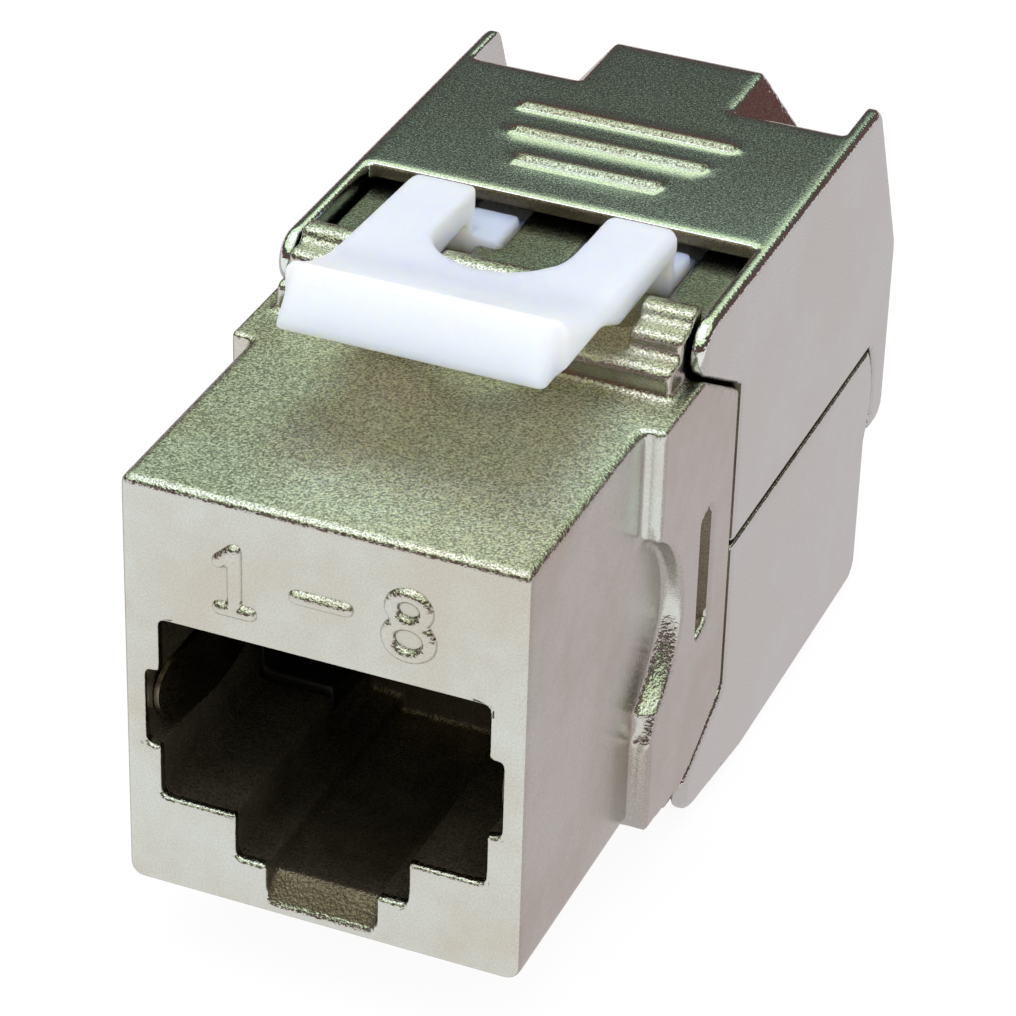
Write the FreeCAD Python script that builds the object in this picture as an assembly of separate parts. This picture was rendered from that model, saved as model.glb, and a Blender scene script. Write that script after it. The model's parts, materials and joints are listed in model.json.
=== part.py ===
"""Shielded tool-free keystone jack, in millimetres.

Frame: X runs across the jack, Y from its front face back to the cable, Z up.
Origin: the middle of the lower edge of the front block's face, the datum that a
panel opening is measured from. Each physical piece is written to its own file.
"""
import FreeCAD, Part
import math
import os

V = FreeCAD.Vector

# ---- Front block: the die casting that fills the panel opening -------------------------
block_half = 7.25
block_height = 16.2
block_rear = 17.33
face_wall = 1.5
block_round = 0.32
foot_round = 0.5

# ---- Port: outline of the plug opening in the front face -------------------------------
port_half = 5.95
port_floor = 3.72
port_top = 10.85
notch_half = 6.48
notch_low = 5.75
notch_high = 8.77
tab_half = 3.19
tab_floor = 1.98
tab_depth = 11.2
key_half = 2.03
key_low = 0.38
key_rise = 1.0
key_ramp = 0.8

# ---- Bay behind the port for the contact carrier ---------------------------------------
bay_front = 7.9
bay_half = 6.5
bay_floor = 2.9
bay_roof = 1.4
gallery_half = 6.0
seat_gap = 0.06

# ---- Side flanges that stop against the back of the panel ------------------------------
flange_out = 8.0
flange_front = 9.9
scoop_run = 0.65
scoop_lip = 0.65
shoulder_y = 13.67
shoulder_drop = 2.2
toe_low = -0.46
toe_y = 13.3
heel_z = 1.6
scoop_low = 3.95
scoop_high = 11.9
scoop_deep = 12.6
slot_y = 14.7
slot_half_y = 0.55
slot_low = 5.35
slot_high = 10.3
slot_slant = 0.3
slot_deep = 0.45

# ---- Deck on top of the block: ledges, ribs and the latch seat --------------------------
deck_play = 0.1
ledge_y = 12.0
ledge_rise = 1.05
step_y = 13.0
step_rise = 1.8
rib_y = 14.0
rib_deep = 0.95
rib_rise = 2.25
deck_rise = 1.1
deck_thick = 1.2
deck_rear = 20.9
channel_floor_rise = 0.7
ledge_round = 0.3

# ---- Lower boss and the fixed catch under the block -------------------------------------
boss_front = 12.9
boss_low = -2.0
catch_front = 10.3
catch_low = -2.3
catch_half = 5.0

# ---- Covers: two hinged shells that close over the wiring -------------------------------
cover_wall = 0.6
cover_gap = 0.16
slant_gap = 0.3
plate_wall = 0.6
plate_rise = 1.95
plate_front = 20.0
plate_rear = 29.5
parting_z = 7.4
cover_bevel = 0.22
upper_hinge_back = 0.83
upper_hinge_rise = 0.88
upper_nose = 1.07
ear_y = 32.25
ear_round = 0.7
ear_drop = 7.05
tail_y = 35.4
lobe_low = 3.3
lobe_round = 0.9
lower_hinge_back = 1.8
lower_hinge_drop = 0.74
lower_nose = 1.2
base_z = -3.05
base_full_y = 20.0
base_rear = 32.4
base_open = 1.95
lower_tail = 33.35
bulge = 0.33
bulge_z = 4.9
snap_gap = 0.15
tail_round = 0.9
peg_radius = 0.45
peg_play = 0.05
peg_long = 0.8

# ---- Hood over the cable and the outlet in the rear walls -------------------------------
hood_half = 2.95
hood_rear = 33.1
hood_spread = 1.9
hood_drop = 2.4
outlet_apothem = 3.9
grip_rows = ((26.6, 3.95), (24.7, 3.5), (22.7, 2.48))
grip_width = 0.34
grip_rise = 0.2

# ---- Latch: the moulded spring lever ----------------------------------------------------
lip_front = 6.49
lip_low_rise = 2.85
lip_under_rise = 2.5
lip_deep = 1.51
lip_top_rise = 4.55
lip_half = 4.83
lever_half = 5.1
lever_rise = 3.15
lever_flat_y = 12.8
arm_rise = 2.9
arm_thick = 1.25
arm_short = 1.25
thick_y = 13.4
thin_y = 11.75
fork_half = 2.5
fork_y = 15.0
latch_bevel = 0.3
lip_round = 0.4
arm_corner = 0.6
foot_in = 1.4
foot_long = 2.18
foot_short = 0.12
foot_rise = 1.25
foot_thick = 0.8
tongue_long = 0.62
tongue_thick = 0.3
foot_gap = 0.12

# ---- Contact carrier and its eight spring contacts --------------------------------------
carrier_short = 0.08
carrier_floor = 4.0
cavity_half = 5.85
cavity_top = 10.95
cavity_rear = 13.4
window_half = 4.4
window_front = 2.4
window_top = 12.7
comb_front = 11.9
comb_low = 7.2
comb_slot = 0.52
contact_count = 8
contact_pitch = 1.016
contact_width = 0.38
contact_thick = 0.3
contact_z = 12.4
contact_front = 3.4
contact_bend = 0.7
contact_tip_y = 12.9
contact_tip_z = 8.15

# ---- Shield springs at the sides of the port --------------------------------------------
spring_thick = 0.18
spring_half_z = 1.4
spring_front = 0.6
spring_rear = 7.6
spring_bulge = 0.55

# ---- Circuit board, cutting contacts and their block -------------------------------------
board_gap = 0.12
board_thick = 1.0
board_half = 6.4
board_low = 1.6
board_drop = 0.5
via_radius = 0.32
idc_pitch = 3.1
idc_margin = 1.95
idc_thick = 0.4
idc_half_z = 1.0
idc_rear = 24.0
idc_slot = 0.34
idc_slot_deep = 2.6
idc_tail_half = 0.22
idc_base = 1.7
tower_half_x = 1.15
tower_half_z = 1.45
tower_beyond = 0.6
wire_slot = 0.8
wire_slot_deep = 2.6
blade_play = 0.03

# ---- Wire manager: the cap that presses the wires into the cutting contacts -------------
manager_rear = 28.4
manager_side_gap = 0.6
manager_low = 1.3
manager_play = 0.14
manager_pocket_gap = 0.2
manager_bore = 3.0
wire_groove = 0.55

# ---- Values that follow from the ones above ---------------------------------------------
block_top = block_height
deck_z = block_top + deck_rise
channel_z = block_top + channel_floor_rise
shoulder_z = block_top - shoulder_drop
bay_top = block_top - bay_roof
cover_out = flange_out
cover_in = cover_out - cover_wall
deck_half = cover_in - deck_play
plate_top = block_top + plate_rise
plate_low = plate_top - plate_wall
ear_low_z = plate_top - ear_drop
upper_hinge_y = shoulder_y + upper_hinge_back
upper_hinge_z = block_top + upper_hinge_rise
lower_hinge_y = toe_y + lower_hinge_back
lower_hinge_z = toe_low - lower_hinge_drop
lip_y = lip_front + lip_deep
lip_low = block_top + lip_low_rise
lip_under = block_top + lip_under_rise
lip_top = block_top + lip_top_rise
lever_top = block_top + lever_rise
arm_top = block_top + arm_rise
arm_low = arm_top - arm_thick
arm_rear = plate_front - arm_short
foot_top = block_top + foot_rise
foot_rear = plate_front - foot_short
foot_front = foot_rear - foot_long
tongue_rear = foot_rear + tongue_long
carrier_rear = block_rear - carrier_short
board_front = block_rear + board_gap
board_rear = board_front + board_thick
board_high = block_top - board_drop
idc_base_rear = board_rear + seat_gap + idc_base
idc_xs = [(k - 1.5) * idc_pitch for k in range(4)]
idc_zs = (board_low + idc_margin, board_high - idc_margin)
tower_rear = idc_rear + tower_beyond
manager_front = deck_rear
manager_half = cover_in - manager_side_gap
manager_high = deck_z - deck_thick
manager_pocket = tower_rear + manager_pocket_gap


def outline(plane, start, *steps):
    """Closed wire. A point of two numbers is a corner, one of three a corner rounded by its third,
    one of four the end of an arc that passes through its first two."""
    place = {
        "yz": lambda a, b: V(0, a, b),
        "xz": lambda a, b: V(a, 0, b),
        "xy": lambda a, b: V(a, b, 0),
    }[plane]
    points = [start, *steps]
    ends = [place(*(p[:2] if len(p) == 3 else p[-2:])) for p in points]
    edges = []
    here = None
    for i in range(len(points) + 1):
        k = i % len(points)
        entry = leave = ends[k]
        bend = None
        if len(points[k]) == 3:
            into = (ends[k] - ends[k - 1]).normalize()
            out = (ends[(k + 1) % len(points)] - ends[k]).normalize()
            turn = into.getAngle(out)
            reach = points[k][2] * math.tan(turn / 2)
            entry, leave = ends[k] - into * reach, ends[k] + out * reach
            toward = (out - into).normalize()
            bend = ends[k] + toward * points[k][2] * (1 / math.cos(turn / 2) - 1)
        if here is not None and not here.isEqual(entry, 1e-7):
            if len(points[k]) == 4:
                edges.append(Part.Arc(here, place(*points[k][:2]), entry).toShape())
            else:
                edges.append(Part.LineSegment(here, entry).toShape())
        if bend is not None and i < len(points):
            edges.append(Part.Arc(entry, bend, leave).toShape())
        here = leave
    return Part.Wire(edges)


def slab(plane, low, high, start, *steps):
    """Solid between two positions along the axis that is normal to the plane of its outline."""
    normal = {"yz": V(1, 0, 0), "xz": V(0, 1, 0), "xy": V(0, 0, 1)}[plane]
    face = Part.Face(outline(plane, start, *steps))
    face.translate(normal * low)
    return face.extrude(normal * (high - low))


def block(x0, x1, y0, y1, z0, z1):
    return Part.makeBox(x1 - x0, y1 - y0, z1 - z0, V(x0, y0, z0))


def rod(radius, start, direction, length):
    return Part.makeCylinder(radius, length, V(*start), V(*direction))


def mirrored(shape):
    return shape.mirror(V(0, 0, 0), V(1, 0, 0))


def pair(shape):
    """The shape and its mirror image across the jack's middle plane."""
    return [shape, mirrored(shape)]


def soften(shape, radius, wanted):
    """Round the edges whose bounding box passes the test."""
    edges = [e for e in shape.Edges if wanted(e.BoundBox)]
    return shape.makeFillet(radius, edges) if edges else shape


def bevelled(shape, size, wanted):
    """Break the edges whose bounding box passes the test with a flat bevel."""
    edges = [e for e in shape.Edges if wanted(e.BoundBox)]
    return shape.makeChamfer(size, edges) if edges else shape


def octagon(plane, across, a, b, low, high):
    """Eight-sided prism, given its size across flats and its centre."""
    reach = across / 2 / math.cos(math.pi / 8)
    turns = [math.pi / 8 + k * math.pi / 4 for k in range(8)]
    return slab(plane, low, high, *[(a + reach * math.cos(t), b + reach * math.sin(t)) for t in turns])


def save(shape, name):
    solid = shape.removeSplitter()
    solids = solid.Solids
    result = solids[0] if len(solids) == 1 else Part.makeCompound(solids)
    if len(solids) != 1 or not result.isValid():
        print("check", name, len(solids), "solids, valid", result.isValid())
    result.exportStep("parts/" + name + ".step")


def on_arc(centre_y, centre_z, radius, degrees):
    angle = math.radians(degrees)
    return centre_y + radius * math.cos(angle), centre_z + radius * math.sin(angle)


def tangent_run(centre_y, centre_z, radius, line_y, line_z, slope_y, slope_z):
    """Foot of the perpendicular from a centre to a line, at the nose's radius."""
    size = math.hypot(slope_y, slope_z)
    normal_y, normal_z = slope_z / size, -slope_y / size
    if (line_y - centre_y) * normal_y + (line_z - centre_z) * normal_z < 0:
        normal_y, normal_z = -normal_y, -normal_z
    return centre_y + radius * normal_y, centre_z + radius * normal_z


def tangent_from(centre_y, centre_z, radius, point_y, point_z, side):
    """Point where a line from the given point touches a nose, on the side asked for."""
    toward = math.atan2(point_z - centre_z, point_y - centre_y)
    spread = math.acos(radius / math.hypot(point_y - centre_y, point_z - centre_z))
    return on_arc(centre_y, centre_z, radius, math.degrees(toward + side * spread))


# ---- Front housing -----------------------------------------------------------------------

def flange_outline():
    """Side view of a flange, from its shoulder by its heel to its toe."""
    return (
        (flange_front, block_top),
        (shoulder_y, block_top),
        (block_rear, shoulder_z),
        (block_rear, heel_z),
        (toe_y + 2.55, toe_low + 1.08, toe_y + 0.8, toe_low + 0.24),
        (toe_y, toe_low),
        (flange_front, -0.1),
    )


def scoop():
    """Hollow in a flange's front edge; its root runs further forward at the foot than its rim."""
    mid = (scoop_low + scoop_high) / 2
    lip = scoop_lip

    def ring(x, run):
        wire = outline(
            "yz",
            (flange_front - 2, scoop_low - 0.45), (flange_front - 0.12, scoop_low - 0.45),
            (flange_front, scoop_low - 0.4, flange_front + 0.1, scoop_low - 0.2),
            (flange_front + lip - run, scoop_low + lip),
            (scoop_deep - 0.75 - run, scoop_low + 1.75, scoop_deep - run * 0.5, mid - 0.45),
            (scoop_deep - 0.45, mid + 1.6, flange_front, scoop_high),
            (flange_front - 2, scoop_high),
        )
        wire.translate(V(x, 0, 0))
        return wire

    return Part.makeLoft([ring(block_half, scoop_run), ring(flange_out + 0.01, 0)], True, True)


def port_outline():
    """Front view of the plug opening, down to the slot for the plug's tab."""
    return (
        (-port_half, port_top),
        (port_half, port_top),
        (port_half, notch_high),
        (notch_half, notch_high),
        (notch_half, notch_low),
        (port_half, notch_low),
        (port_half, port_floor),
        (tab_half, port_floor),
        (tab_half, tab_floor),
        (-tab_half, tab_floor),
        (-tab_half, port_floor),
        (-port_half, port_floor),
        (-port_half, notch_low),
        (-notch_half, notch_low),
        (-notch_half, notch_high),
        (-port_half, notch_high),
    )


def key_slot():
    """Lowest step of the opening: a short ramp that rises to a groove for the tab."""
    groove = key_low + key_rise
    return slab(
        "yz", -key_half, key_half,
        (-1, key_low), (0, key_low), (key_ramp, groove), (tab_depth, groove),
        (tab_depth, port_floor), (-1, port_floor),
    )


def front_block():
    """Block with round lower corners and a softened rim around its face."""
    r = foot_round
    body = slab("xz", 0, block_rear, (-block_half, 0, r), (block_half, 0, r),
                (block_half, block_top, block_round), (-block_half, block_top, block_round))
    return soften(body, block_round * 0.8, lambda b: b.YMax < 0.01)


def side_flange():
    flange = slab("yz", block_half - 0.6, flange_out, *flange_outline())
    slit = slab(
        "yz", flange_out - slot_deep, flange_out + 1,
        (slot_y - slot_half_y, slot_low), (slot_y + slot_half_y, slot_low + slot_slant),
        (slot_y + slot_half_y, slot_high + slot_slant), (slot_y - slot_half_y, slot_high),
    )
    return flange.cut([slit, scoop()])


def deck():
    """Stepped top of the block, its floor, and the ribs in front of the floor."""
    steps = slab(
        "yz", -deck_half, deck_half,
        (ledge_y, block_top - 0.5),
        (ledge_y, block_top + ledge_rise),
        (step_y, block_top + ledge_rise),
        (step_y, block_top + step_rise),
        (rib_y, block_top + step_rise),
        (rib_y, block_top + rib_rise),
        (rib_y + rib_deep, block_top + rib_rise),
        (rib_y + rib_deep, deck_z),
        (deck_rear, deck_z),
        (deck_rear, deck_z - deck_thick),
        (block_rear - 1, block_top - 0.5),
    )
    heights = (block_top + ledge_rise, block_top + step_rise, block_top + rib_rise)
    steps = soften(steps, ledge_round, lambda b: b.XLength > 10 and b.YLength < 0.01
                   and b.YMin < rib_y + rib_deep + 0.01
                   and any(abs(b.ZMin - h) < 0.01 for h in heights)
                   and not (abs(b.YMin - step_y) < 0.01 and b.ZMin < heights[0] + 0.01)
                   and not (abs(b.YMin - rib_y) < 0.01 and b.ZMin < heights[1] + 0.01))
    arm_low_x = fork_half - 0.35
    arm_high_x = lever_half + 0.25
    for lane in pair(block(arm_low_x, arm_high_x, step_y, deck_rear + 1, channel_z, plate_top + 2)):
        steps = steps.cut(lane)
    middle = block(-arm_low_x - 0.1, arm_low_x + 0.1, step_y, rib_y, channel_z, plate_top + 2)
    return steps.cut(middle)


def latch_seat():
    """Pockets in the deck that hold the latch's feet and the tongues behind them."""
    low = foot_top - foot_thick - foot_gap
    return pair(block(foot_in - foot_gap, lever_half + foot_gap + 0.1, foot_front - foot_gap - 0.05,
                      deck_rear + 1, low, plate_top + 1))


def front_housing():
    body = front_block()
    body = body.fuse([*pair(side_flange()), deck(), lower_boss(), lower_catch()])
    mouth = slab("xz", -1, bay_front + 0.1, *port_outline())
    tab_groove = block(-tab_half, tab_half, 0, tab_depth, tab_floor, port_floor + 1)
    bay = block(-bay_half, bay_half, bay_front, block_rear + 1, bay_floor, bay_top)
    gallery = block(-gallery_half, gallery_half, face_wall, bay_front + 0.1, cavity_top - 0.3, bay_top)
    body = body.cut([mouth, key_slot(), tab_groove, bay, gallery, *latch_seat()])
    bores = []
    for y, z in ((upper_hinge_y, upper_hinge_z), (lower_hinge_y, lower_hinge_z)):
        bores += pair(rod(peg_radius + peg_play, (deck_half - peg_long, y, z), (1, 0, 0), peg_long + 1))
    return body.cut(bores)


def lower_boss():
    """Block under the housing that the lower cover's pegs turn in."""
    return slab(
        "yz", -deck_half, deck_half,
        (boss_front + 1.0, boss_low), (block_rear - 1.0, boss_low), (block_rear - 1.0, 0.6),
        (boss_front, 0.6), (boss_front, boss_low + 1.0),
    )


def lower_catch():
    """Fixed catch that hooks behind the lower edge of the panel opening."""
    return slab(
        "yz", -catch_half, catch_half,
        (catch_front, 0.4), (catch_front, catch_low), (catch_front + 0.7, catch_low),
        (boss_front + 0.2, -0.3), (boss_front + 0.2, 0.4),
    )


# ---- Covers ------------------------------------------------------------------------------

def upper_side():
    """Side wall of the upper cover: hinge nose, shoulder, ear, and the lobe that snaps over the lower."""
    slope = (block_rear - shoulder_y, shoulder_z - block_top)
    touch = tangent_run(upper_hinge_y, upper_hinge_z, upper_nose, shoulder_y, block_top, *slope)
    front = block_rear + cover_gap
    reach = (front - touch[0]) / slope[0]
    corner = (front, touch[1] + reach * slope[1])
    split = parting_z + cover_gap / 2
    rear = lower_tail + snap_gap
    return slab(
        "yz", cover_in, cover_out,
        (upper_hinge_y, upper_hinge_z + upper_nose),
        (*on_arc(upper_hinge_y, upper_hinge_z, upper_nose, 165), *touch),
        (*corner, 0.2),
        (front, split),
        (rear - 0.35, split),
        (rear + bulge, bulge_z, rear, lobe_low + 0.3),
        (rear + 0.35, lobe_low),
        (tail_y, lobe_low, lobe_round),
        (tail_y, ear_low_z, 1.2),
        (ear_y, plate_top, ear_round),
    )


def base_touch():
    """Where the lower cover's sloping front underside leaves the hinge nose."""
    return tangent_from(lower_hinge_y, lower_hinge_z, lower_nose, base_full_y, base_z, -1)


def lower_side():
    """Side wall of the lower cover: hinge nose, front edge, and the rear bulge under the lobe."""
    front = block_rear + cover_gap
    corner = (front, heel_z - slant_gap)
    touch = tangent_from(lower_hinge_y, lower_hinge_z, lower_nose, *corner, 1)
    split = parting_z - cover_gap / 2
    return slab(
        "yz", cover_in, cover_out,
        touch,
        (*on_arc(lower_hinge_y, lower_hinge_z, lower_nose, 185), *base_touch()),
        (base_full_y, base_z, 6.0),
        (lower_tail, base_z, tail_round),
        (lower_tail, lobe_low + 0.3),
        (lower_tail + bulge, bulge_z, lower_tail - 0.35, split),
        (front, split),
        (*corner, 0.3),
    )


def rim_bevelled(side):
    """Side wall with its outer rim bevelled, but for the parting line and the snap behind it."""
    return bevelled(side, cover_bevel, lambda b: b.XMin > cover_out - 0.01
                  and not (b.ZLength < 0.01 and abs(b.ZMin - parting_z) < 0.1)
                  and not (b.YMin > lower_tail - 0.4 and b.ZMin > lobe_low - 0.01
                           and b.YMax < lower_tail + snap_gap + bulge + 0.1 and b.ZMax < parting_z + 0.2))


def outlet(low, high):
    """Octagonal cable hole through the rear walls, centred on the parting line."""
    return octagon("xz", 2 * outlet_apothem, 0, parting_z, low, high)


def grip_bar(y, half):
    """Raised bar with sloping shoulders on the upper cover's plate."""
    r = grip_width / 2
    rise = grip_rise
    return slab(
        "yz", -half - r, half + r,
        (y - r, plate_top - 0.2), (y - r, plate_top + rise * 0.45), (y - r * 0.45, plate_top + rise),
        (y + r * 0.45, plate_top + rise), (y + r, plate_top + rise * 0.45), (y + r, plate_top - 0.2),
    )


def hood():
    """Half-octagon hood behind the plate: the upper half of the cable's strain relief."""
    wide = hood_half + hood_spread
    low = plate_top - hood_drop
    t = plate_wall
    start = plate_rear - 0.5
    return slab(
        "xz", start, hood_rear,
        (-hood_half, plate_top), (hood_half, plate_top), (wide, low), (wide - t * 1.25, low),
        (hood_half - t * 0.45, plate_top - t), (-hood_half + t * 0.45, plate_top - t),
        (-wide + t * 1.25, low), (-wide, low),
    )


def hinge_pegs(y, z):
    return pair(rod(peg_radius, (cover_in - peg_long, y, z), (1, 0, 0), peg_long + 0.2))


def upper_cover():
    sides = pair(rim_bevelled(upper_side()))
    plate = block(-cover_in - 0.2, cover_in + 0.2, plate_front, plate_rear, plate_low, plate_top)
    wall = block(-cover_in - 0.2, cover_in + 0.2, plate_rear - plate_wall, plate_rear,
                 parting_z + cover_gap / 2, plate_top - 0.2)
    body = sides[0].fuse([sides[1], plate, wall, hood()])
    bars = [grip_bar(y, half) for y, half in grip_rows]
    body = body.fuse([*bars, *hinge_pegs(upper_hinge_y, upper_hinge_z)])
    return body.cut(outlet(plate_rear - 2, plate_rear + 0.1))


def lower_cover():
    sides = pair(rim_bevelled(lower_side()))
    touch = base_touch()
    open_y = lower_hinge_y + base_open
    share = (open_y - touch[0]) / (base_full_y - touch[0])
    open_z = touch[1] + share * (base_z - touch[1])
    plate = slab(
        "yz", -cover_in - 0.1, cover_in + 0.1,
        (open_y, open_z), (base_full_y, base_z, 6.0), (base_rear, base_z),
        (base_rear, base_z + plate_wall), (base_full_y, base_z + plate_wall, 6.0),
        (open_y, open_z + plate_wall),
    )
    wall = block(-cover_in - 0.2, cover_in + 0.2, plate_rear - plate_wall, plate_rear,
                 base_z + 0.2, parting_z - cover_gap / 2)
    body = sides[0].fuse([sides[1], plate, wall, *hinge_pegs(lower_hinge_y, lower_hinge_z)])
    return body.cut(outlet(plate_rear - 2, plate_rear + 1))


# ---- Latch -------------------------------------------------------------------------------

def latch():
    """Lip, curved lever and two arms, whose feet sit in the deck."""
    r = (arm_top - arm_low) / 2
    lever = slab(
        "yz", -lever_half, lever_half,
        (lip_y, lip_under), (lip_y, lip_top),
        (lip_y + 2.0, lip_top - 0.93, lever_flat_y, lever_top),
        (arm_rear - r, arm_top),
        (arm_rear, (arm_top + arm_low) / 2, arm_rear - r, arm_low),
        (thick_y, arm_low), (thin_y, lip_under - 0.05),
    )
    lip = slab(
        "yz", -lip_half, lip_half,
        (lip_front, lip_low), (lip_y, lip_top), (lip_y + 0.5, lip_top - 0.4), (lip_y + 0.5, lip_under),
        (lip_front + 0.75, lip_under), (lip_front + 0.25, lip_under + 0.08, lip_front, lip_low),
    )
    lip = soften(lip, lip_round, lambda b: b.XLength < 0.01 and b.ZLength > 1
                 and b.YMin < lip_front + 0.01 and b.YMax > lip_y - 0.01)
    fork = slab(
        "xy", arm_low - 1, arm_top + 1,
        (fork_half, fork_y), (fork_half, arm_rear + 1), (-fork_half, arm_rear + 1), (-fork_half, fork_y),
        (0, fork_y - fork_half, fork_half, fork_y),
    )
    body = lever.cut(fork)
    body = bevelled(body, latch_bevel, lambda b: (b.XMin > lever_half - 0.01 or b.XMax < 0.01 - lever_half)
                    and b.ZMin > arm_low + 0.3 and b.ZLength < 1.6 and b.YLength > 1)
    corners = [block(lever_half - arm_corner, lever_half + 1, arm_rear - arm_corner, arm_rear + 1,
                     arm_low - 1, arm_top + 1).cut(
        rod(arm_corner, (lever_half - arm_corner, arm_rear - arm_corner, arm_low - 1), (0, 0, 1), 4))]
    corners.append(block(fork_half - 1, fork_half + arm_corner, arm_rear - arm_corner, arm_rear + 1,
                         arm_low - 1, arm_top + 1).cut(
        rod(arm_corner, (fork_half + arm_corner, arm_rear - arm_corner, arm_low - 1), (0, 0, 1), 4)))
    body = body.cut([c for corner in corners for c in pair(corner)])
    body = body.fuse(lip)
    low = foot_top - foot_thick
    feet = []
    for side in pair(slab(
        "yz", foot_in, lever_half,
        (foot_front, low), (tongue_rear, low), (tongue_rear, low + tongue_thick),
        (foot_rear, low + tongue_thick), (foot_rear, foot_top), (foot_front, foot_top),
    )):
        feet.append(side)
    webs = pair(block(fork_half, lever_half, foot_front, arm_rear - r, foot_top - 0.1, arm_low + 0.2))
    return body.fuse([*feet, *webs])


# ---- Contact carrier ---------------------------------------------------------------------

def contact_xs():
    middle = (contact_count - 1) / 2
    return [(i - middle) * contact_pitch for i in range(contact_count)]


def port_insert():
    """Carrier behind and above the port: port rear, contact gallery and comb."""
    g = seat_gap
    cradle = block(-bay_half + g, bay_half - g, bay_front + g, carrier_rear, bay_floor + g, bay_top - g)
    tray = block(-gallery_half + g, gallery_half - g, face_wall + g, bay_front + 1, cavity_top, bay_top - g)
    body = cradle.fuse(tray)
    cavity = block(-cavity_half, cavity_half, bay_front - 1, cavity_rear, carrier_floor, cavity_top)
    groove = block(-tab_half, tab_half, bay_front - 1, tab_depth, bay_floor - 1, carrier_floor + 1)
    window = block(-window_half, window_half, window_front, cavity_rear, cavity_top - 0.5, window_top)
    body = body.cut([cavity, groove, window])
    comb = block(-window_half - 0.2, window_half + 0.2, comb_front, cavity_rear + 0.1, comb_low, window_top)
    slots = []
    for x in contact_xs():
        half = comb_slot / 2
        slots.append(block(x - half, x + half, comb_front - 1, cavity_rear, comb_low - 1, window_top))
        slots.append(block(x - half, x + half, cavity_rear - 0.1, carrier_rear + 1,
                           contact_z - contact_thick / 2 - 0.04, contact_z + contact_thick / 2 + 0.04))
    return body.fuse(comb).cut(slots)


def spring_contact(x):
    """Flat wire: tail in the board, run over the port, bend at the front, free end in the comb."""
    half = contact_thick / 2
    bend = contact_bend
    top = contact_z
    fall_y = contact_tip_y - contact_front - bend
    drop_start = top - 2 * bend
    slope = math.atan2(drop_start - contact_tip_z, fall_y)
    inner = bend - half
    outer = bend + half
    centre_y = contact_front + bend
    centre_z = top - bend
    end_angle = 270 - math.degrees(slope)

    def at(radius, degrees):
        return on_arc(centre_y, centre_z, radius, degrees)

    run_y, run_z = math.cos(-slope), math.sin(-slope)
    start_out = at(outer, end_angle)
    start_in = at(inner, end_angle)
    length = (contact_tip_y - centre_y) / run_y
    return slab(
        "yz", x - contact_width / 2, x + contact_width / 2,
        (board_rear - 0.05, top + half),
        (centre_y, top + half),
        (*at(outer, (90 + end_angle) / 2), *start_out),
        (start_out[0] + length * run_y, start_out[1] + length * run_z),
        (start_in[0] + length * run_y, start_in[1] + length * run_z),
        start_in,
        (*at(inner, (90 + end_angle) / 2), centre_y, top - half),
        (board_rear - 0.05, top - half),
    )


def shield_spring():
    """Bowed leaf at the side of the port, with a rounded front end, that touches the plug's shield."""
    middle = (notch_low + notch_high) / 2
    outer = notch_half - 0.03
    mid_y = (spring_front + spring_rear) / 2
    leaf = slab(
        "xy", middle - spring_half_z, middle + spring_half_z,
        (outer, spring_front),
        (outer - spring_bulge, mid_y, outer, spring_rear),
        (outer - spring_thick, spring_rear),
        (outer - spring_bulge - spring_thick, mid_y, outer - spring_thick, spring_front),
    )
    r = spring_half_z - 0.05
    shape = slab(
        "yz", outer - 3, outer + 1,
        (spring_front + r, middle - r), (spring_rear + 1, middle - r), (spring_rear + 1, middle + r),
        (spring_front + r, middle + r), (spring_front, middle, spring_front + r, middle - r),
    )
    return leaf.common(shape)


# ---- Wiring side -------------------------------------------------------------------------

def idc_places():
    return [(x, z) for z in idc_zs for x in idc_xs]


def circuit_board():
    board = block(-board_half, board_half, board_front, board_rear, board_low, board_high)
    centres = [(x, contact_z) for x in contact_xs()] + idc_places()
    holes = [octagon("xz", 2 * via_radius, x, z, board_front - 1, board_rear + 1) for x, z in centres]
    return board.cut(holes)


def idc_contact(x, z):
    """Forked blade: a slot that cuts the wire's jacket, and a tail in the board."""
    slot = idc_slot / 2
    return slab(
        "yz", x - idc_thick / 2, x + idc_thick / 2,
        (board_front + 0.05, z - idc_tail_half),
        (board_rear + seat_gap, z - idc_tail_half),
        (board_rear + seat_gap, z - idc_half_z),
        (idc_rear - 0.4, z - idc_half_z),
        (idc_rear, z - idc_half_z + 0.3),
        (idc_rear, z - slot - 0.35),
        (idc_rear - 0.5, z - slot),
        (idc_rear - idc_slot_deep, z - slot),
        (idc_rear - idc_slot_deep - slot, z, idc_rear - idc_slot_deep, z + slot),
        (idc_rear - 0.5, z + slot),
        (idc_rear, z + slot + 0.35),
        (idc_rear, z + idc_half_z - 0.3),
        (idc_rear - 0.4, z + idc_half_z),
        (board_rear + seat_gap, z + idc_half_z),
        (board_rear + seat_gap, z + idc_tail_half),
        (board_front + 0.05, z + idc_tail_half),
    )


def idc_block():
    front = board_rear + seat_gap
    body = block(-board_half, board_half, front, idc_base_rear, board_low, board_high)
    towers, cuts = [], []
    for x, z in idc_places():
        towers.append(block(x - tower_half_x, x + tower_half_x, idc_base_rear - 0.2, tower_rear,
                            z - tower_half_z, z + tower_half_z))
        side = idc_thick / 2 + blade_play
        tall = idc_half_z + blade_play
        cuts.append(block(x - side, x + side, front - 1, tower_rear + 1, z - tall, z + tall))
        cuts.append(block(x - tower_half_x - 1, x + tower_half_x + 1, tower_rear - wire_slot_deep,
                          tower_rear + 1, z - wire_slot / 2, z + wire_slot / 2))
    return body.fuse(towers).cut(cuts)


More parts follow.
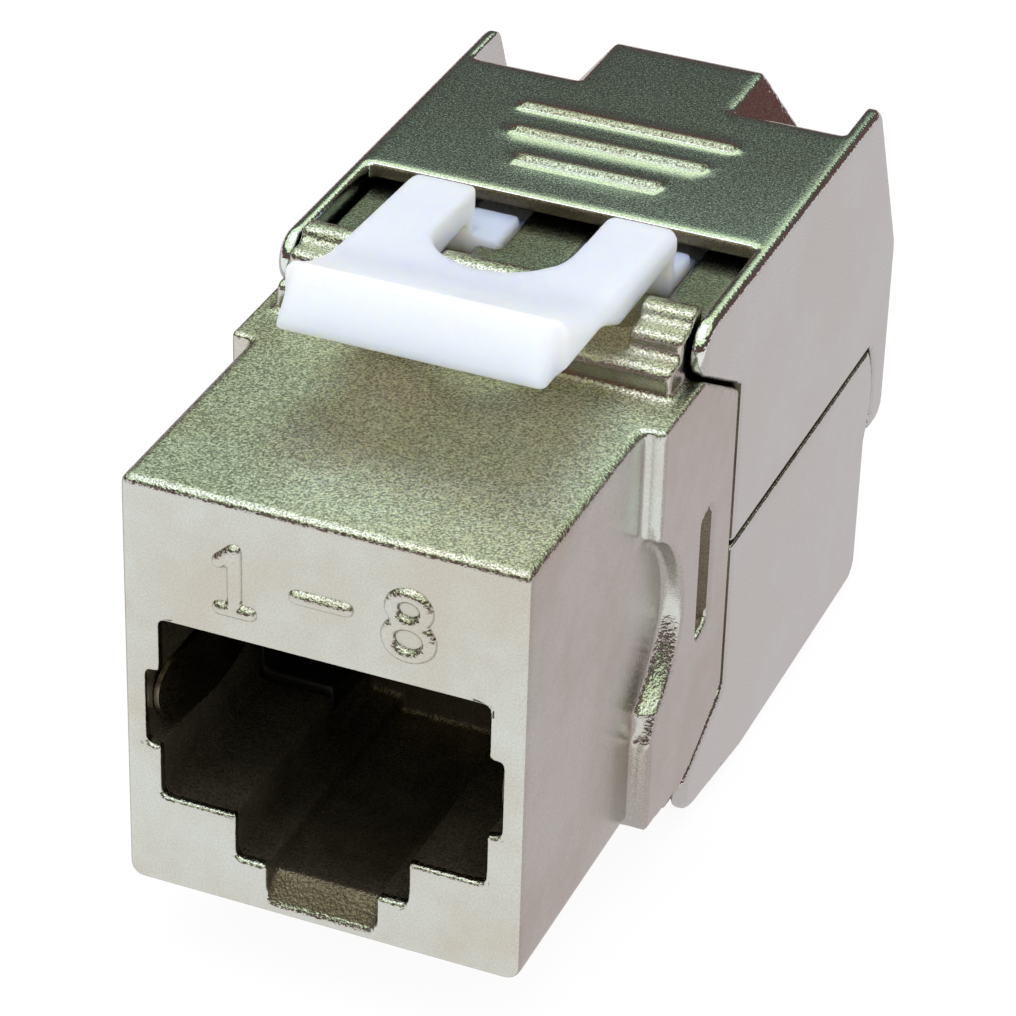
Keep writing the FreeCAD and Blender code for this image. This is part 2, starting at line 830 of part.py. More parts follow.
def wire_manager():
    """Cap with a pocket over each tower, a notch per wire in its rims, and a hole for the cable."""
    body = block(-manager_half, manager_half, manager_front, manager_rear, manager_low, manager_high)
    cuts = [octagon("xz", 2 * manager_bore, 0, parting_z, manager_pocket + 0.3, manager_rear + 1)]
    for x, z in idc_places():
        side = tower_half_x + manager_play
        tall = tower_half_z + manager_play
        cuts.append(block(x - side, x + side, manager_front - 1, manager_pocket, z - tall, z + tall))
        rim, inward = (manager_high, -1) if z > parting_z else (manager_low, 1)
        w = wire_groove
        cuts.append(slab("xz", manager_front - 1, manager_rear + 1, (x - w, rim - inward), (x + w, rim - inward),
                         (x + w, rim + inward * w * 0.5), (x, rim + inward * w), (x - w, rim + inward * w * 0.5)))
    return body.cut(cuts)


save(front_housing(), "front_housing")
save(latch(), "latch")
save(upper_cover(), "upper_cover")
save(lower_cover(), "lower_cover")
save(port_insert(), "port_insert")
for number, x in enumerate(contact_xs(), 1):
    save(spring_contact(x), "contact_%d" % number)
for side, leaf in zip(("right", "left"), pair(shield_spring())):
    save(leaf, "shield_spring_" + side)
save(circuit_board(), "circuit_board")
save(idc_block(), "idc_block")
for number, (x, z) in enumerate(idc_places(), 1):
    save(idc_contact(x, z), "idc_contact_%d" % number)
save(wire_manager(), "wire_manager")
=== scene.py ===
# %% [markdown]
# # Shielded keystone jack
# The jack is a small box of nickel-plated zinc with a white plastic latch on top. This
# notebook dresses the solid model: it keeps every solid where it is, gives the castings
# their softly rounded edges and their grainy plating, adds the raised marks on the face,
# and sets up a plain studio. Blender works in metres, so sizes are written in
# millimetres and multiplied by `MM`. x points right, y to the rear and z up.

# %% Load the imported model
import json
import math

import bmesh
import bpy
from mathutils import Matrix, Vector


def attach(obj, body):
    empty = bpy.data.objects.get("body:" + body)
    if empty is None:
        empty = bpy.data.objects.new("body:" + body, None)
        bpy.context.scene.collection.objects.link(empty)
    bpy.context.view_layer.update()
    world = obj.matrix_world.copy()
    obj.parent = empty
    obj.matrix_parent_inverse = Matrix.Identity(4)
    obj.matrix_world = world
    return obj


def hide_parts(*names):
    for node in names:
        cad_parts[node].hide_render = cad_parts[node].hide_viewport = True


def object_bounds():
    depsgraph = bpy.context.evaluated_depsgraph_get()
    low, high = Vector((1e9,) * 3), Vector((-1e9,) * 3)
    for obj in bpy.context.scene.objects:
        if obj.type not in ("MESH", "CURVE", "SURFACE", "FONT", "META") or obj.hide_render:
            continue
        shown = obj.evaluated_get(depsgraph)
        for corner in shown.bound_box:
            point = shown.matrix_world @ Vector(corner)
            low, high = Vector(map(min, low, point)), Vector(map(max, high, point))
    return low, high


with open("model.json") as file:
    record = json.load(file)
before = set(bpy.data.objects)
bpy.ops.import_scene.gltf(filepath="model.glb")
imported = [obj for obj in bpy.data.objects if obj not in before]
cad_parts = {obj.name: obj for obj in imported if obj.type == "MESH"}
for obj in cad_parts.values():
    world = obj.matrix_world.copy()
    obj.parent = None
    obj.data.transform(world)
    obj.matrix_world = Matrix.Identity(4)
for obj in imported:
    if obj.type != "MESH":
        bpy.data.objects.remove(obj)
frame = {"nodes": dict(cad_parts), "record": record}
cad_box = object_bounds()
nodes = frame["nodes"]
MM = 0.001
print("pieces in the solid model:", len(nodes))


# %% [markdown]
# ## Small helpers
# A maker picks colours from a chart in sRGB, but shaders mix light, so one function
# turns the hex value into linear light. Another adds a shader node with its settings,
# its links and, for a colour ramp, its stops. A socket goes by its name, with `_` for a
# space. Where a node has several of one name it goes by its number: `_6` and `_7` are
# the two colours that a Mix node mixes.

# %% Colours and shader nodes
def linear(colour):
    """Linear light values of an sRGB hex colour."""
    parts = [int(colour[i:i + 2], 16) / 255 for i in (1, 3, 5)]
    light = [p / 12.92 if p <= 0.04045 else ((p + 0.055) / 1.055) ** 2.4 for p in parts]
    return (*light, 1)


def add_node(tree, kind, settings=None, stops=(), **inputs):
    """Add one node; inputs are values or the sockets to link, named by socket."""
    made = tree.nodes.new(kind)
    for name, value in (settings or {}).items():
        setattr(made, name, value)
    for name, value in inputs.items():
        key = int(name[1:]) if name[0] == "_" else name.replace("_", " ")
        if isinstance(value, bpy.types.NodeSocket):
            tree.links.new(value, made.inputs[key])
        else:
            made.inputs[key].default_value = value
    if stops:
        band = made.color_ramp.elements
        band[0].position, band[0].color = stops[0]
        band[1].position, band[1].color = stops[-1]
        for position, colour in stops[1:-1]:
            band.new(position).color = colour
    return made


def empty_material(name):
    """A material without nodes, and its node tree."""
    made = bpy.data.materials.new(name)
    made.use_nodes = True
    made.node_tree.nodes.clear()
    return made, made.node_tree


def new_material(name, **surface):
    """A material with one Principled surface, its node tree and that surface."""
    made, tree = empty_material(name)
    shader = add_node(tree, "ShaderNodeBsdfPrincipled", **surface)
    add_node(tree, "ShaderNodeOutputMaterial", Surface=shader.outputs[0])
    return made, tree, shader


# %% [markdown]
# ## Nickel-plated zinc die casting
# Molten zinc is pressed into a steel mould, tumbled and plated with dull nickel. The
# skin keeps a fine grain of about a tenth of a millimetre, which sparkles where it
# catches the edge of a bright or dark patch of the room. A fine noise bumps the surface
# for that, a coarser one breaks the light on the rounded edges into glints, and a broad
# one varies the tone a little, as plating does. Nickel is warmer than chrome. An Ambient
# Occlusion node finds the hollows and gaps and paints shade into them, a dark brown.
# A painted texture could do the same, but the noises need no flattened skin.

# %% Sizes of the grain
fine_grain, coarse_grain, clouds = 0.08, 0.16, 6
fine_height, coarse_height = 0.03, 0.09
hollow_reach = 0.9
# The grain's spots are tinted green and weigh more on level faces, so besides the grain
# they paint the tops darker and greener: painted shade and a painted green reflection.
dark_grain_and_shade, bright_grain_and_green_sheen = (0.2, 0.23, 0.21, 1), (1.34, 1.46, 1.4, 1)
upright, nearly_level = 0.2, 0.9  # how far up a face looks, from 0 to 1
slope_starts, slope_full, slope_fades, slope_ends = 0.15, 0.35, 0.88, 0.97


# %% Plating
def plated_zinc(name, cool, warm, roughness, speckle, bumps, glints,
                metallic=1.0, hollow_shade_colour="#2c221b"):
    """Grainy plating with painted shade in its hollows; speckle and bumps: their strength
    on upright and level faces.
    """
    made, tree, shader = new_material(name, Metallic=metallic)
    coordinates = add_node(tree, "ShaderNodeTexCoord")
    place = coordinates.outputs["Object"]
    level = add_node(tree, "ShaderNodeSeparateXYZ",
                     Vector=coordinates.outputs["Normal"]).outputs["Z"]
    fine = add_node(tree, "ShaderNodeTexNoise", Vector=place, Detail=2.0, Roughness=0.7,
                    Scale=1 / (fine_grain * MM)).outputs["Fac"]
    coarse = add_node(tree, "ShaderNodeTexNoise", Vector=place, Detail=1.0,
                      Scale=1 / (coarse_grain * MM)).outputs["Fac"]
    cloudy = add_node(tree, "ShaderNodeTexNoise", Vector=place, Detail=4.0,
                      Roughness=0.65, Scale=1 / (clouds * MM)).outputs["Fac"]

    # Colour: the clouds choose the tone, the grain speckles it and paints level faces
    # darker and greener, and the hollows get painted shade in dark brown.
    tone = add_node(tree, "ShaderNodeValToRGB", Fac=cloudy,
                    stops=((0.38, linear(cool)), (0.6, linear(warm))))
    spots = add_node(tree, "ShaderNodeValToRGB", Fac=fine,
                     stops=((0.38, dark_grain_and_shade), (0.63, bright_grain_and_green_sheen)))
    amount = add_node(tree, "ShaderNodeMapRange", Value=level, From_Min=upright,
                      From_Max=nearly_level, To_Min=speckle[0], To_Max=speckle[1])
    grained = add_node(tree, "ShaderNodeMix",
                       {"data_type": "RGBA", "blend_type": "MULTIPLY"},
                       _0=amount.outputs[0], _6=tone.outputs[0], _7=spots.outputs[0])
    # Painted shade: Ambient Occlusion darkens the base colour towards dark brown in
    # hollows, gaps and corners.
    hollow = add_node(tree, "ShaderNodeAmbientOcclusion", {"samples": 4},
                      Distance=hollow_reach * MM)
    open_air = add_node(tree, "ShaderNodeMapRange", Value=hollow.outputs["AO"],
                        From_Min=0.1, From_Max=0.62)
    shaded_base = add_node(tree, "ShaderNodeMix", {"data_type": "RGBA"},
                    _0=open_air.outputs[0], _6=linear(hollow_shade_colour), _7=grained.outputs[2])
    tree.links.new(shaded_base.outputs[2], shader.inputs["Base Color"])

    # Shine: the grain is a little rougher than the metal between it.
    rough = add_node(tree, "ShaderNodeMapRange", Value=fine, From_Min=0.35, From_Max=0.65,
                     To_Min=roughness - 0.05, To_Max=roughness + 0.07)
    tree.links.new(rough.outputs[0], shader.inputs["Roughness"])

    # Relief: fine grain all over, coarser grain only on sloping faces and rounded edges.
    depth = add_node(tree, "ShaderNodeMapRange", Value=level, From_Min=upright,
                     From_Max=nearly_level, To_Min=bumps[0], To_Max=bumps[1])
    bump = add_node(tree, "ShaderNodeBump", Strength=depth.outputs[0], Height=fine,
                    Distance=fine_height * MM)
    off, full = (0, 0, 0, 1), (glints, glints, glints, 1)
    sloped = add_node(tree, "ShaderNodeValToRGB", Fac=level,
                      stops=((slope_starts, off), (slope_full, full),
                             (slope_fades, full), (slope_ends, off)))
    broken = add_node(tree, "ShaderNodeBump", Strength=sloped.outputs[0], Height=coarse,
                      Distance=coarse_height * MM, Normal=bump.outputs[0])
    tree.links.new(broken.outputs[0], shader.inputs["Normal"])
    return made


# %% Five grades of the plating
# The housing is the grainiest: its level top glitters and its upright front is calm. The
# heavier speckle also paints the top darker and greener, as painted shade and painted
# reflection.
housing_nickel = plated_zinc(
    "nickel_plated_zinc_housing", cool="#d1d3cc", warm="#cac5b9", roughness=0.18,
    speckle=(0.12, 0.8), bumps=(0.28, 0.7), glints=0.35)
# The covers are smoother, so they mirror the room more clearly.
cover_nickel = plated_zinc(
    "nickel_plated_zinc_cover", cool="#e0e8e5", warm="#dde1dc", roughness=0.1,
    speckle=(0.1, 0.42), bumps=(0.15, 0.1), glints=0.22)
# The grip ribs on the upper cover are left rough, which breaks their highlight up; their
# darker tone is painted shade that dims it.
shaded_rib_nickel = plated_zinc(
    "nickel_plated_zinc_ribs_painted_shade", cool="#bcc0b4", warm="#aeab9a", roughness=0.24,
    speckle=(0.3, 0.8), bumps=(0.4, 0.9), glints=0.8)
# The deck behind the block lies deeper, under the plate and the latch, and its plating is
# painted a shade darker for the shade there.
shaded_recess_nickel = plated_zinc(
    "nickel_plated_zinc_recess_painted_shade", cool="#989e9b", warm="#8c8a80", roughness=0.18,
    speckle=(0.2, 0.6), bumps=(0.28, 0.5), glints=0.3)
# Inside the port and the gaps hardly any nickel settles, so the plating is dull and thin,
# and its dark brown tone is painted shade.
shaded_inner_nickel = plated_zinc(
    "thinly_plated_zinc_painted_shade", cool="#7c7260", warm="#5d5443", roughness=0.3,
    speckle=(0.3, 0.5), bumps=(0.5, 0.8), glints=0.5, metallic=0.75)
print("platings:", [m.name for m in bpy.data.materials if "plated_zinc" in m.name])


# %% [markdown]
# ## Plastics
# The latch is a white glossy moulding that lets a little light in, so it glows softly
# instead of looking like paint, and Subsurface Scattering does that. The carrier that
# holds the contacts is black, nearly matt nylon. The other mouldings sit inside, but each
# still has its real finish, because the covers open. A mould leaves a faint texture,
# which varies the shine and bumps the surface very slightly.

# %% Mouldings
light_depth, light_reach = 3.5, (1.0, 0.75, 0.35)  # red light goes deepest
texture_height = 0.01


def moulded_plastic(name, colour, roughness, texture, depth, glow=0.0):
    """Moulded plastic; texture is the size of its grain in mm, depth its strength."""
    made, tree, shader = new_material(
        name, Base_Color=linear(colour), IOR=1.5, Subsurface_Weight=glow,
        Subsurface_Radius=light_reach, Subsurface_Scale=light_depth * MM)
    place = add_node(tree, "ShaderNodeTexCoord").outputs["Object"]
    grain = add_node(tree, "ShaderNodeTexNoise", Vector=place, Detail=3.0,
                     Scale=1 / (texture * MM)).outputs["Fac"]
    rough = add_node(tree, "ShaderNodeMapRange", Value=grain, From_Min=0.3, From_Max=0.7,
                     To_Min=roughness - 0.04, To_Max=roughness + 0.05)
    tree.links.new(rough.outputs[0], shader.inputs["Roughness"])
    bump = add_node(tree, "ShaderNodeBump", Strength=depth, Height=grain,
                    Distance=texture_height * MM)
    tree.links.new(bump.outputs[0], shader.inputs["Normal"])
    return made


# A glossy white from a polished mould.
white_latch = moulded_plastic("white_polycarbonate", "#fbfcff",
                              roughness=0.32, texture=0.5, depth=0.15, glow=1.0)
# Glass fibres reach the skin and make the black nearly matt.
black_carrier = moulded_plastic("black_glass_filled_nylon", "#121110",
                                roughness=0.45, texture=0.12, depth=0.3)
# Two satin greys, the second a little yellower, as uncoloured plastic is.
grey_block = moulded_plastic("light_grey_polycarbonate", "#d6d6d2",
                             roughness=0.38, texture=0.3, depth=0.2)
clear_manager = moulded_plastic("natural_polycarbonate", "#e6e4dc",
                                roughness=0.35, texture=0.3, depth=0.2)
print("plastics:", white_latch.name, black_carrier.name, grey_block.name,
      clear_manager.name)

# %% [markdown]
# ## Strip metal and the board
# Contacts and springs are stamped from rolled bronze strip. Rolling leaves fine lines
# along the strip that vary its shine, so a noise is stretched along y, the way that
# most of the strips run. The board is glass cloth under green lacquer, and a brick
# pattern stands for the weave that shows through it.

# %% Strip metals
line_width, line_length = 0.05, 2.5


def rolled_strip(name, colour, roughness):
    """Thin metal strip: fine lines along the rolling direction vary the shine."""
    made, tree, shader = new_material(name, Base_Color=linear(colour), Metallic=1.0)
    place = add_node(tree, "ShaderNodeTexCoord").outputs["Object"]
    across, along = 1 / (line_width * MM), 1 / (line_length * MM)
    drawn = add_node(tree, "ShaderNodeMapping", Vector=place,
                     Scale=(across, along, across))
    lines = add_node(tree, "ShaderNodeTexNoise", Vector=drawn.outputs[0], Scale=1.0,
                     Detail=2.0)
    rough = add_node(tree, "ShaderNodeMapRange", Value=lines.outputs["Fac"],
                     From_Min=0.3, From_Max=0.7,
                     To_Min=roughness - 0.06, To_Max=roughness + 0.08)
    tree.links.new(rough.outputs[0], shader.inputs["Roughness"])
    return made


# Gold on the contacts, bright tin on the blades, and grey nickel on the side springs.
gold_strip = rolled_strip("gold_plated_bronze", "#e0b45c", 0.22)
tin_strip = rolled_strip("tin_plated_bronze", "#c9c8c2", 0.3)
shield_strip = rolled_strip("nickel_plated_spring_bronze", "#8f8674", 0.3)

# %% Board
weave_pitch, weave_gap = 0.9, 0.01
board_green, tree, lacquer = new_material("green_solder_mask", IOR=1.5, Roughness=0.3)
place = add_node(tree, "ShaderNodeTexCoord").outputs["Object"]
weave = add_node(tree, "ShaderNodeTexBrick", Vector=place, Color1=linear("#14532c"),
                 Color2=linear("#1a6236"), Mortar=linear("#0f4524"),
                 Scale=1 / (weave_pitch * MM), Mortar_Size=weave_gap)
tree.links.new(weave.outputs["Color"], lacquer.inputs["Base Color"])
print("strips and board:", gold_strip.name, tin_strip.name, shield_strip.name,
      board_green.name)


# %% [markdown]
# ## Rounded edges
# A solid model leaves knife-sharp corners, but every cast or moulded edge has a small
# radius, and that is where the bright lines on the jack come from. A Bevel modifier
# rounds edges too, but it fails where many short edges meet. So the skin of each casting
# and moulding is rebuilt on a fine grid and smoothed, which melts its edges. A second
# pass over the grid thins the flat parts, and normals weighted by area keep them flat.
# The solid itself stays for the mechanics.

# %% Melting the edges of a mesh
def evaluated(holder):
    """The mesh of an object with its modifiers worked out."""
    bpy.context.view_layer.update()
    graph = bpy.context.evaluated_depsgraph_get()
    return bpy.data.meshes.new_from_object(holder.evaluated_get(graph))


def melted(mesh, grid, rounds, thinning):
    """New mesh with every edge softly rounded; more rounds make a wider radius."""
    rough = bpy.data.meshes.new("rough")
    mesh.to_mesh(rough)
    mesh.free()
    holder = bpy.data.objects.new("rough", rough)
    bpy.context.scene.collection.objects.link(holder)
    rebuild = holder.modifiers.new("rebuild", "REMESH")
    smooth = holder.modifiers.new("smooth", "SMOOTH")
    thin = holder.modifiers.new("thin", "REMESH")
    steady = holder.modifiers.new("steady", "WEIGHTED_NORMAL")
    for remesh in (rebuild, thin):
        remesh.mode, remesh.voxel_size = "VOXEL", grid * MM
    smooth.factor, smooth.iterations = 0.5, rounds
    thin.adaptivity, thin.use_smooth_shade = thinning, True
    steady.mode, steady.weight = "FACE_AREA", 100
    data = evaluated(holder)
    bpy.data.objects.remove(holder)
    return data


# %% Finished castings and mouldings
skin_grid, seam, usual_thinning, fine_thinning = 0.1, 0.002, 0.01, 0.004
bodies = frame["record"]["behaviour"]["bodies"]


def finished_copy(name, rounds, thinning):
    """Melted copy of a solid, in its place and on its body."""
    mesh = bmesh.new()
    mesh.from_mesh(nodes[name].data)
    bmesh.ops.remove_doubles(mesh, verts=mesh.verts, dist=seam * MM)
    data = melted(mesh, skin_grid, rounds, thinning)
    data.name = name + "_finished"
    piece = bpy.data.objects.new(name + "_finished", data)
    bpy.context.scene.collection.objects.link(piece)
    body = next(b for b, group in bodies.items() if name in group)
    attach(piece, body)
    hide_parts(name)
    print(name, "faces", len(data.polygons))
    return piece


# Each piece's material, the rounds of smoothing and the thinning of its flat parts.
finish = {
    "front_housing": (housing_nickel, 4, fine_thinning),
    "upper_cover": (cover_nickel, 4, usual_thinning),
    "lower_cover": (cover_nickel, 4, usual_thinning),
    "latch": (white_latch, 9, usual_thinning),
    "port_insert": (black_carrier, 3, usual_thinning),
    "wire_manager": (clear_manager, 5, usual_thinning),
    "idc_block": (grey_block, 4, usual_thinning),
    "circuit_board": (board_green, 2, usual_thinning),
}
finished = {}
for name, (material, rounds, thinning) in finish.items():
    piece = finished_copy(name, rounds, thinning)
    piece.data.materials.clear()
    piece.data.materials.append(material)
    finished[name] = piece


# %% [markdown]
# ## Painted shade in the port, on the deck and in the gaps
# Nickel settles thinly where the current reaches last, so the plating is duller inside the
# port, on the deck, in the slits of the sides, and on the faces that meet at a gap, and
# there it is also painted darker for the shade that falls there. The ribs are rougher
# than the plate they stand on, and painted a shade darker. Separate pieces could carry
# these finishes, but on the real jack each casting is one piece, so the faces are picked
# by their place and by the way they look, and get a second material.

# %% Places of the faces with painted shade, in millimetres
port_half, port_floor, port_roof = 6.6, 0.5, 15.0
sill_top, sill_skin, mouth_skin = 1.95, 0.12, 0.3
slit_inside, slit_outside = 7.4, 7.85
slit_front, slit_rear, slit_floor, slit_roof = 14.1, 15.3, 5.3, 10.7
deck_half, deck_front, deck_floor, deck_roof = 7.3, 15.1, 16.7, 17.5
rear_face, rear_roof, cover_gap = 17.33, 16, 0.16
parting, plate_front, plate_floor, plate_top = 7.4, 20.0, 15, 18.15
rib_half, rib_foot = 6, 0.03
face_near, parting_near, edge_near = 0.15, 0.12, 0.2


def inside_port(x, y, z, n):
    skin = mouth_skin if z > sill_top else sill_skin
    return abs(x) < port_half and y > skin and port_floor < z < port_roof


def on_housing_rear(x, y, z, n):
    return n.y > 0.5 and y > rear_face - face_near and z < rear_roof


def in_side_slit(x, y, z, n):
    return (slit_inside < abs(x) < slit_outside and slit_front < y < slit_rear
            and slit_floor < z < slit_roof)


def on_deck(x, y, z, n):
    return abs(x) < deck_half and y > deck_front and deck_floor < z < deck_roof


def on_rib(x, y, z, n):
    return abs(x) < rib_half and z > plate_top + rib_foot


def on_cover_front(x, y, z, n):
    return n.y < -0.5 and abs(y - rear_face - cover_gap) < face_near


def on_parting(x, y, z, n):
    return abs(n.z) > 0.8 and abs(z - parting) < parting_near


def on_plate_front(x, y, z, n):
    return (n.y < -0.6 and abs(x) < deck_half and abs(y - plate_front) < edge_near
            and z > plate_floor)


# %% Second materials on the castings
def shade_faces(name, material, *places):
    """Give the faces of a finished piece that lie in these places another, darker plating:
    painted shade.
    """
    data = finished[name].data
    data.materials.append(material)
    changed = 0
    for face in data.polygons:
        x, y, z = (c / MM for c in face.center)
        if any(place(x, y, z, face.normal) for place in places):
            face.material_index = len(data.materials) - 1
            changed += 1
    print(name, "faces of", material.name, changed)


# Painted shade: the port, the gaps, the deck, the ribs and the plate's front get darker
# platings.
shade_faces("front_housing", shaded_inner_nickel, inside_port, on_housing_rear, in_side_slit)
shade_faces("front_housing", shaded_recess_nickel, on_deck)
shade_faces("upper_cover", shaded_rib_nickel, on_rib)
for name in ("upper_cover", "lower_cover"):
    shade_faces(name, shaded_inner_nickel, on_cover_front, on_parting, on_plate_front)

# %% [markdown]
# ## Stamped pieces
# Strip is cut with a punch, which leaves crisp edges. So the contacts, the blades and
# the side springs keep the meshes of their solids and only get their metal.

# %% Metals of the stamped pieces
strips = {"contact": gold_strip, "idc_contact": tin_strip, "shield": shield_strip}
for name, node in nodes.items():
    for start, strip in strips.items():
        if name.startswith(start):
            node.data.materials.clear()
            node.data.materials.append(strip)
            print(name, strip.name)


# %% [markdown]
# ## Raised marks on the face
# Above the port the mould raises plain figures for the pins, 1 to 8. A text object could
# give them, but its strokes are flat and sharp. Here each stroke is a round bar sunk in
# the face, so only its soft back stands out, as on a real casting.

# %% Strokes
def stroke(mesh, points, radius, relief, sunk):
    """Round bar through points on the face, flattened to stand out by its relief."""
    flat = (Matrix.Translation((0, sunk * MM, 0))
            @ Matrix.Diagonal((1, (relief + sunk) / radius, 1, 1)))
    ends = [Vector((x, 0, z)) * MM for x, z in points]
    for start, end in zip(ends, ends[1:]):
        turn = (end - start).to_track_quat("Z", "Y").to_matrix().to_4x4()
        middle = Matrix.Translation((start + end) / 2)
        bmesh.ops.create_cone(mesh, cap_ends=True, segments=16, radius1=radius * MM,
                              radius2=radius * MM, depth=(end - start).length,
                              matrix=flat @ middle @ turn)
    for end in ends:
        bmesh.ops.create_icosphere(mesh, subdivisions=2, radius=radius * MM,
                                   matrix=flat @ Matrix.Translation(end))


def oval(x, z, wide, high, count=24):
    """Points round an oval, the last one on the first."""
    turns = [2 * math.pi * k / count for k in range(count + 1)]
    return [(x + wide * math.cos(t), z + high * math.sin(t)) for t in turns]


# %% Pin marks
mark_low, mark_high, mark_left, mark_right = 12.05, 14.35, -3.1, 3.1
mark_middle = (mark_low + mark_high) / 2
foot_half, flag_drop, dash_half = 0.55, 0.5, 0.9
lower_wide, lower_high, upper_wide, upper_high = 0.74, 0.62, 0.62, 0.53
marks_mesh = bmesh.new()
for points in (
    [(mark_left - foot_half, mark_high - flag_drop), (mark_left, mark_high),
     (mark_left, mark_low)],
    [(mark_left - foot_half, mark_low), (mark_left + foot_half, mark_low)],
    [(-dash_half, mark_middle), (dash_half, mark_middle)],
    oval(mark_right, mark_low + lower_high, lower_wide, lower_high),
    oval(mark_right, mark_high - upper_high, upper_wide, upper_high),
):
    stroke(marks_mesh, points, radius=0.31, relief=0.22, sunk=0.14)
marks_data = melted(marks_mesh, grid=0.035, rounds=7, thinning=0.0)
marks_data.name = "pin_marks"
marks = bpy.data.objects.new("pin_marks", marks_data)
bpy.context.scene.collection.objects.link(marks)
marks.data.materials.clear()
marks.data.materials.append(housing_nickel)
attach(marks, "housing")
print("pin marks, faces", len(marks_data.polygons))


# %% [markdown]
# ## Studio
# Metal shows the room, so the room is part of the finish. The jack stands on white paper
# under one wide soft lamp, inside a ring of cloth that is dark below and pale above, with
# a grey card on the table behind its front. The paper brightens the front, the card tones
# the sides, the ring gives the top its depth, and the lamp draws the bright edges. A
# ready-made panorama would light it too, but it can't be set surface by surface.

# %% Stage helpers
def stage_piece(name, mesh, material, hidden=False):
    """Put a stage piece in place; a hidden one shows only in what the metal mirrors."""
    data = bpy.data.meshes.new(name)
    mesh.to_mesh(data)
    mesh.free()
    data.materials.append(material)
    piece = bpy.data.objects.new(name, data)
    bpy.context.scene.collection.objects.link(piece)
    if hidden:
        piece.visible_camera = piece.visible_shadow = False
        piece.visible_diffuse = piece.visible_transmission = False
    print("stage piece", name)


def seen_directly(tree):
    """1 for rays that come straight from the camera, off metal or through glass."""
    path = add_node(tree, "ShaderNodeLightPath")
    near = add_node(tree, "ShaderNodeMath", {"operation": "MAXIMUM"},
                    _0=path.outputs["Is Camera Ray"], _1=path.outputs["Is Glossy Ray"])
    seen = add_node(tree, "ShaderNodeMath", {"operation": "MAXIMUM"},
                    _0=near.outputs[0], _1=path.outputs["Is Transmission Ray"])
    return seen.outputs[0]


# %% Floor
# White paper to the eye; the light it throws up on the jack is that of plain paper.
floor_z, floor_half = cad_box[0][2], 900
paper, tree = empty_material("white_paper")
matt = add_node(tree, "ShaderNodeBsdfDiffuse", Color=linear("#e6e6e5"))
pale = add_node(tree, "ShaderNodeBsdfDiffuse", Color=linear("#5a5a5a"))
lift = add_node(tree, "ShaderNodeEmission", Color=(1, 1, 1, 1), Strength=0.92)
seen = add_node(tree, "ShaderNodeAddShader", _0=pale.outputs[0], _1=lift.outputs[0])
mix = add_node(tree, "ShaderNodeMixShader", _0=seen_directly(tree),
               _1=matt.outputs[0], _2=seen.outputs[0])
add_node(tree, "ShaderNodeOutputMaterial", Surface=mix.outputs[0])
sheet = bmesh.new()
bmesh.ops.create_grid(sheet, x_segments=1, y_segments=1, size=floor_half * MM,
                      matrix=Matrix.Translation((0, 0, floor_z)))
stage_piece("floor", sheet, paper)

# %% Grey card
# It starts a millimetre behind the front of the jack, so only the sides mirror it.
card_half, card_front, card_lift = 150, 1, 0.02
card_grey, tree = empty_material("grey_card")
tone = add_node(tree, "ShaderNodeEmission", Color=(0.62, 0.555, 0.57, 1), Strength=1.0)
add_node(tree, "ShaderNodeOutputMaterial", Surface=tone.outputs[0])
card = bmesh.new()
card_place = (0, (card_half + card_front) * MM, floor_z + card_lift * MM)
bmesh.ops.create_grid(card, x_segments=1, y_segments=1, size=card_half * MM,
                      matrix=Matrix.Translation(card_place))
stage_piece("card", card, card_grey, hidden=True)

# %% Cloth ring
# Each stop is a share of the ring's marked height and the light of the cloth there.
ring_foot, ring_rim, ring_height, ring_middle, ring_marked = 760, 430, 560, 275, 500
cloth_light = (
    (0.0, (0.15, 0.065, 0.06, 1)),
    (0.3, (0.15, 0.065, 0.06, 1)),
    (0.42, (0.1, 0.09, 0.082, 1)),
    (0.54, (0.085, 0.088, 0.078, 1)),
    (0.65, (0.09, 0.1, 0.088, 1)),
    (0.675, (0.25, 0.33, 0.29, 1)),
    (0.7, (0.5, 0.68, 0.52, 1)),
    (0.72, (1.25, 1.36, 0.86, 1)),
    (0.77, (1.05, 1.18, 0.84, 1)),
)
cloth, tree = empty_material("shaded_cloth")
place = add_node(tree, "ShaderNodeTexCoord").outputs["Object"]
height = add_node(tree, "ShaderNodeSeparateXYZ", Vector=place).outputs["Z"]
share = add_node(tree, "ShaderNodeMapRange", Value=height,
                 From_Min=0.0, From_Max=ring_marked * MM)
bands = add_node(tree, "ShaderNodeValToRGB", Fac=share.outputs[0], stops=cloth_light)
glow = add_node(tree, "ShaderNodeEmission", Color=bands.outputs[0], Strength=1.0)
add_node(tree, "ShaderNodeOutputMaterial", Surface=glow.outputs[0])
ring = bmesh.new()
bmesh.ops.create_cone(ring, cap_ends=False, segments=64, radius1=ring_foot * MM,
                      radius2=ring_rim * MM, depth=ring_height * MM,
                      matrix=Matrix.Translation((0, 0, ring_middle * MM)))
stage_piece("cloth_ring", ring, cloth, hidden=True)

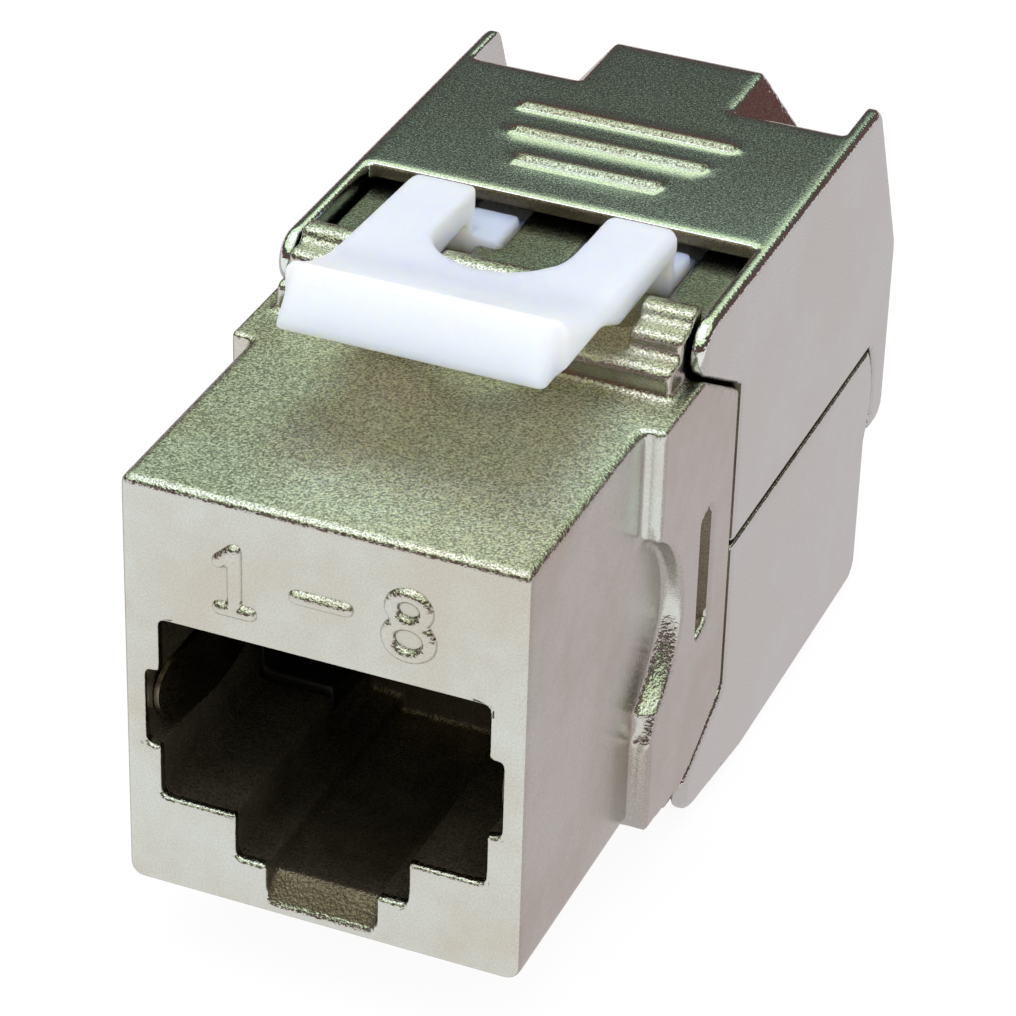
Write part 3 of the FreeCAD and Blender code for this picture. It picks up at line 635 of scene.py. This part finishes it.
# %% World
# A plain cool room lights the jack; the backdrop that the eye sees is pure white.
world = bpy.data.worlds.new("room")
world.use_nodes = True
bpy.context.scene.world = world
tree = world.node_tree
tree.nodes.clear()
room = add_node(tree, "ShaderNodeBackground", Color=linear("#f4f6fa"), Strength=0.95)
backdrop = add_node(tree, "ShaderNodeBackground", Color=(1, 1, 1, 1), Strength=1.0)
both = add_node(tree, "ShaderNodeMixShader", _0=seen_directly(tree),
                _1=room.outputs[0], _2=backdrop.outputs[0])
add_node(tree, "ShaderNodeOutputWorld", Surface=both.outputs[0])

# %% Lamp
# One wide disk high above the jack, a little to its left and its front.
lamp = bpy.data.lights.new("overhead", "AREA")
lamp.shape = "DISK"
lamp.size = 640 * MM
lamp.energy = 1.05
lamp_holder = bpy.data.objects.new("overhead", lamp)
lamp_holder.location = (-30 * MM, -50 * MM, 556 * MM)
bpy.context.scene.collection.objects.link(lamp_holder)
print("lamp width in mm:", round(lamp.size / MM))

# %% [markdown]
# ## Camera
# The jack is seen from its front right, a little above, through a long lens, so its
# sides stay nearly parallel. The camera leans by a degree or two. Its place is worked
# out from the point it aims at, so the jack stays in the middle of the view.

# %% Camera
camera_data = bpy.data.cameras.new("camera")
camera_data.lens, camera_data.sensor_width = 149.6, 36
camera_data.clip_start = 1 * MM
camera = bpy.data.objects.new("camera", camera_data)
bpy.context.scene.collection.objects.link(camera)
azimuth, elevation, lean = (math.radians(a) for a in (21.813, 32.087, 1.749))
aim, distance = Vector((0.493, 14.731, 8.595)) * MM, 150 * MM
ahead = Vector((-math.sin(azimuth) * math.cos(elevation),
                math.cos(azimuth) * math.cos(elevation), -math.sin(elevation)))
level = ahead.cross(Vector((0, 0, 1))).normalized()
right = level * math.cos(lean) + level.cross(ahead) * math.sin(lean)
turned = Matrix((right, right.cross(ahead), -ahead)).transposed().to_4x4()
camera.matrix_world = Matrix.Translation(aim - ahead * distance) @ turned
bpy.context.scene.camera = camera
bpy.context.scene.view_settings.view_transform = "Standard"
